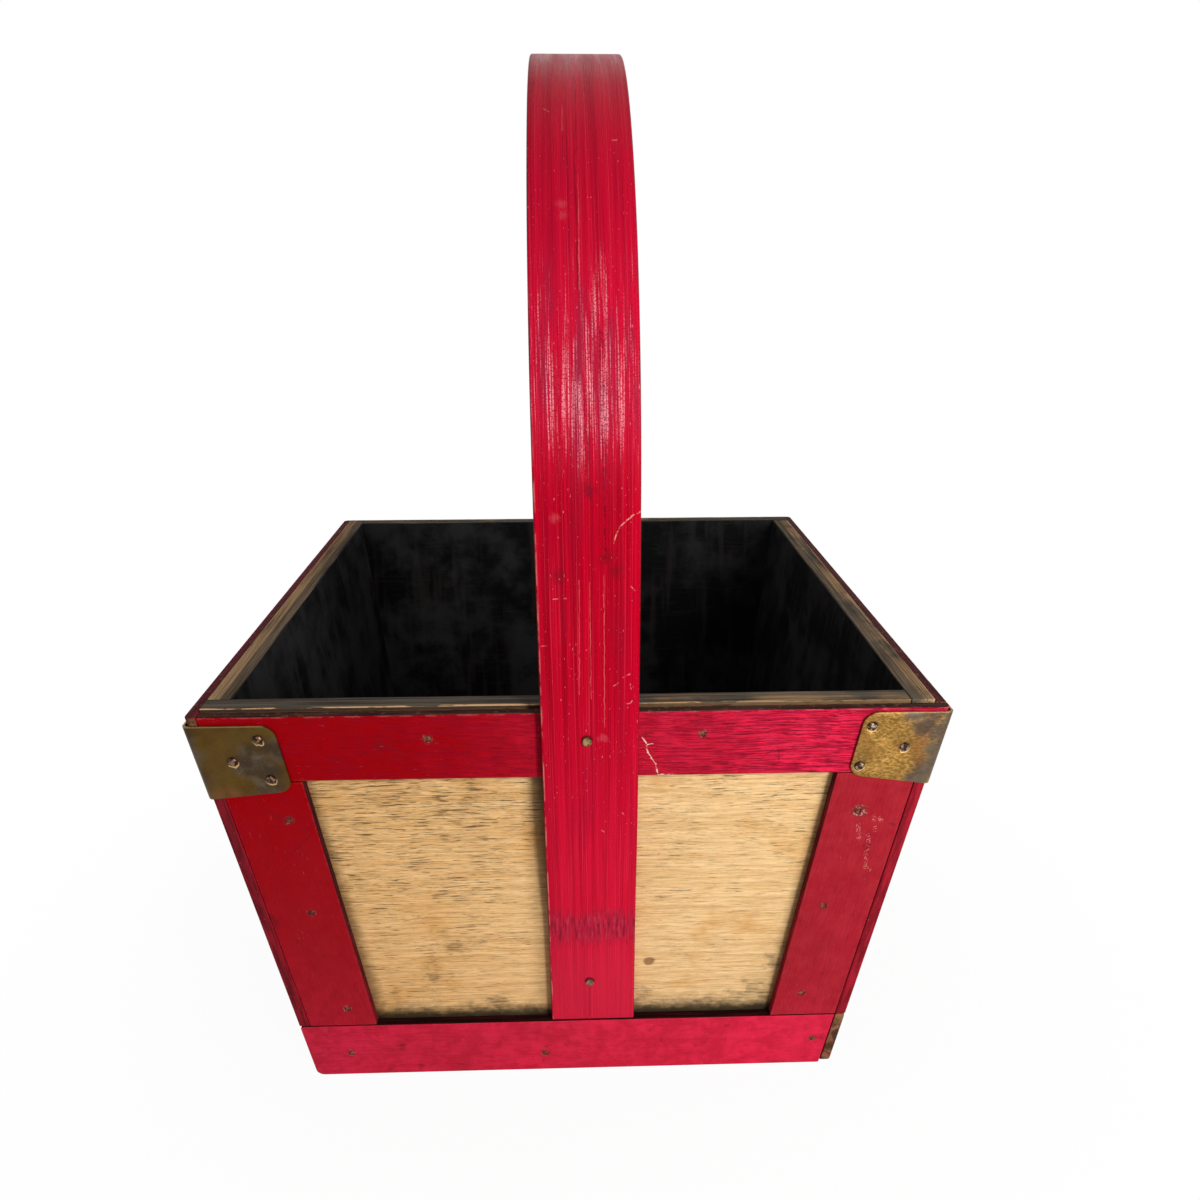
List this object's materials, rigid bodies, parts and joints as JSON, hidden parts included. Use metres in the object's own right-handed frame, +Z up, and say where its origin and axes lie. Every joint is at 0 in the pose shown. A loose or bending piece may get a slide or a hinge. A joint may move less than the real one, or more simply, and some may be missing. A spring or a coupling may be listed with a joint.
{
  "type": "crate basket with hoop handle",
  "caption": "Square basket that tapers to its base: plywood panels framed with painted battens, brass corner plates and a bent bamboo hoop handle.",
  "frame": {"origin": "on the ground under the middle of the basket", "axes": "+Z up the basket and its hoop; -Y is the front, where the handle strip comes down; +X to the right seen from the front"},
  "size_m": [0.2414, 0.255, 0.3609],
  "materials": {
    "plywood": "bare, stained black inside",
    "red_batten": "worn red paint",
    "red_bamboo": "glossy red paint over fibres",
    "corner_brass": "tarnished",
    "nail_brass": "tarnished"
  },
  "bodies": {
    "root": {"base_board": "plywood", "front_panel": "plywood", "front_top_rail": "red_batten", "front_bottom_rail": "red_batten", "front_left_stile": "red_batten", "front_right_stile": "red_batten", "front_left_corner_plate": "corner_brass", "right_panel": "plywood", "right_top_rail": "red_batten", "right_bottom_rail": "red_batten", "right_left_stile": "red_batten", "right_right_stile": "red_batten", "right_front_corner_plate": "corner_brass", "back_panel": "plywood", "back_top_rail": "red_batten", "back_bottom_rail": "red_batten", "back_left_stile": "red_batten", "back_right_stile": "red_batten", "back_right_corner_plate": "corner_brass", "left_panel": "plywood", "left_top_rail": "red_batten", "left_bottom_rail": "red_batten", "left_left_stile": "red_batten", "left_right_stile": "red_batten", "left_back_corner_plate": "corner_brass", "handle_strip": "red_bamboo", "front_left_plate_nail_1": "nail_brass", "front_left_plate_nail_2": "nail_brass", "front_left_plate_nail_3": "nail_brass", "front_right_plate_nail_1": "nail_brass", "front_right_plate_nail_2": "nail_brass", "front_right_plate_nail_3": "nail_brass", "right_left_plate_nail_1": "nail_brass", "right_left_plate_nail_2": "nail_brass", "right_left_plate_nail_3": "nail_brass", "right_right_plate_nail_1": "nail_brass", "right_right_plate_nail_2": "nail_brass", "right_right_plate_nail_3": "nail_brass", "back_left_plate_nail_1": "nail_brass", "back_left_plate_nail_2": "nail_brass", "back_left_plate_nail_3": "nail_brass", "back_right_plate_nail_1": "nail_brass", "back_right_plate_nail_2": "nail_brass", "back_right_plate_nail_3": "nail_brass", "left_left_plate_nail_1": "nail_brass", "left_left_plate_nail_2": "nail_brass", "left_left_plate_nail_3": "nail_brass", "left_right_plate_nail_1": "nail_brass", "left_right_plate_nail_2": "nail_brass", "left_right_plate_nail_3": "nail_brass", "front_upper_handle_pin": "nail_brass", "front_lower_handle_pin": "nail_brass", "back_upper_handle_pin": "nail_brass", "back_lower_handle_pin": "nail_brass"}
  },
  "joints": []
}
